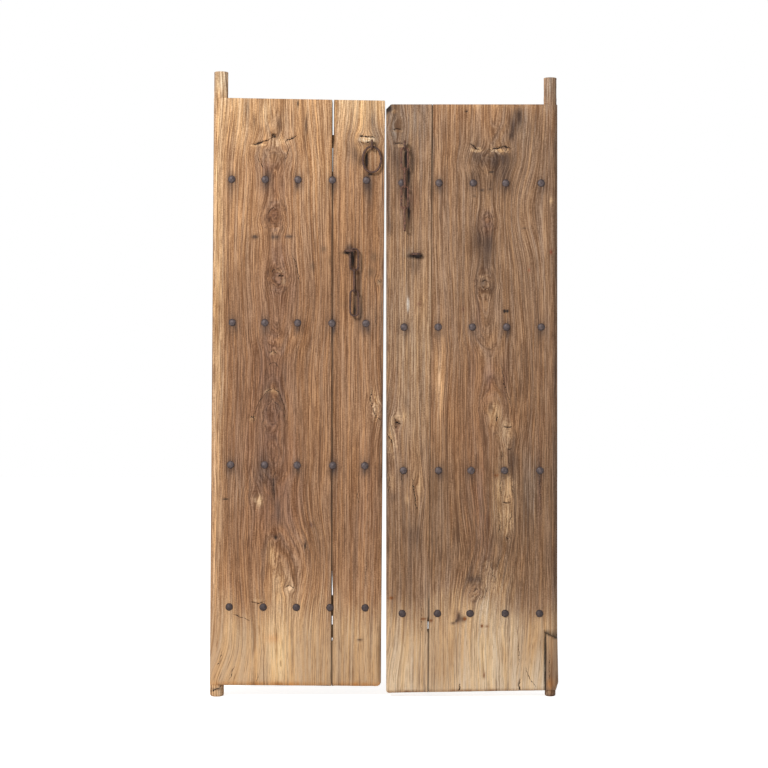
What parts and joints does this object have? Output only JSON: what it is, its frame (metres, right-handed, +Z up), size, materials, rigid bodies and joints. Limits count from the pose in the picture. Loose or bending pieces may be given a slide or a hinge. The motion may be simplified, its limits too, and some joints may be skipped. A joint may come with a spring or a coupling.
{
  "type": "double-leaf plank door",
  "caption": "Pair of weathered plank door leaves on wooden pintles, with nailed battens, a pull ring, hasp chains and a catch; a leaf swings open and the ironwork hangs free.",
  "frame": {"origin": "on the floor, midway between the two pivot axes, at the middle of the boards' thickness", "axes": "X to the right as seen from the front, Y from front to back, Z up"},
  "size_m": [1.0667, 0.1215, 1.9092],
  "materials": {
    "weathered_elm": "old elm boards, hand planed, weathered and worn, unvarnished",
    "batten_elm": "rough sawn elm battens and tongues, dusty and unvarnished",
    "forged_iron": "hand forged wrought iron with a brown rust skin"
  },
  "bodies": {
    "left_leaf": {"left_pivot_board": "weathered_elm", "left_meeting_board": "weathered_elm", "left_lower_tongue": "batten_elm", "left_upper_tongue": "batten_elm", "left_batten_1": "batten_elm", "left_batten_2": "batten_elm", "left_batten_3": "batten_elm", "left_batten_4": "batten_elm", "left_nails_1": "forged_iron", "left_nails_2": "forged_iron", "left_nails_3": "forged_iron", "left_nails_4": "forged_iron", "left_ring_eye": "forged_iron", "left_hasp_staple": "forged_iron"},
    "right_leaf": {"right_pivot_board": "weathered_elm", "right_meeting_board": "weathered_elm", "right_lower_tongue": "batten_elm", "right_upper_tongue": "batten_elm", "right_batten_1": "batten_elm", "right_batten_2": "batten_elm", "right_batten_3": "batten_elm", "right_batten_4": "batten_elm", "right_nails_1": "forged_iron", "right_nails_2": "forged_iron", "right_nails_3": "forged_iron", "right_nails_4": "forged_iron", "right_foot_block": "weathered_elm", "right_chain_eye": "forged_iron", "right_catch_staple": "forged_iron"},
    "pull_ring": {"left_pull_ring": "forged_iron"},
    "hasp_link_1": {"left_hasp_link_1": "forged_iron"},
    "hasp_link_2": {"left_hasp_link_2": "forged_iron"},
    "hasp_link_3": {"left_hasp_link_3": "forged_iron"},
    "chain_link_1": {"right_chain_link_1": "forged_iron"},
    "chain_link_2": {"right_chain_link_2": "forged_iron"},
    "chain_link_3": {"right_chain_link_3": "forged_iron"},
    "chain_link_4": {"right_chain_link_4": "forged_iron"}
  },
  "joints": [
    {"name": "right_leaf_swing", "type": "hinge", "parent": "left_leaf", "child": "right_leaf", "pos_m": [0.51, 0, 0], "axis": [0, 0, -1], "range_deg": [0, 100]},
    {"name": "pull_ring_lift", "type": "hinge", "parent": "left_leaf", "child": "pull_ring", "pos_m": [-0.03524, -0.0345, 1.67716], "axis": [-1, 0, 0], "range_deg": [0, 100]},
    {"name": "hasp_link_1_swing", "type": "hinge", "parent": "left_leaf", "child": "hasp_link_1", "pos_m": [-0.08899, -0.039, 1.35913], "axis": [0, -1, 0], "range_deg": [-40, 75]},
    {"name": "hasp_link_2_lift", "type": "hinge", "parent": "hasp_link_1", "child": "hasp_link_2", "pos_m": [-0.08899, -0.039, 1.30068], "axis": [-1, 0, 0], "range_deg": [0, 60]},
    {"name": "hasp_link_3_swing", "type": "hinge", "parent": "hasp_link_2", "child": "hasp_link_3", "pos_m": [-0.08899, -0.039, 1.23298], "axis": [0, -1, 0], "range_deg": [-45, 45]},
    {"name": "chain_link_1_swing", "type": "hinge", "parent": "right_leaf", "child": "chain_link_1", "pos_m": [0.06421, -0.044, 1.66626], "axis": [0, -1, 0], "range_deg": [-45, 45]},
    {"name": "chain_link_2_lift", "type": "hinge", "parent": "chain_link_1", "child": "chain_link_2", "pos_m": [0.06421, -0.044, 1.60531], "axis": [-1, 0, 0], "range_deg": [0, 60]},
    {"name": "chain_link_3_swing", "type": "hinge", "parent": "chain_link_2", "child": "chain_link_3", "pos_m": [0.06421, -0.044, 1.54861], "axis": [0, -1, 0], "range_deg": [-45, 45]},
    {"name": "chain_link_4_lift", "type": "hinge", "parent": "chain_link_3", "child": "chain_link_4", "pos_m": [0.06421, -0.044, 1.48791], "axis": [-1, 0, 0], "range_deg": [0, 60]}
  ]
}
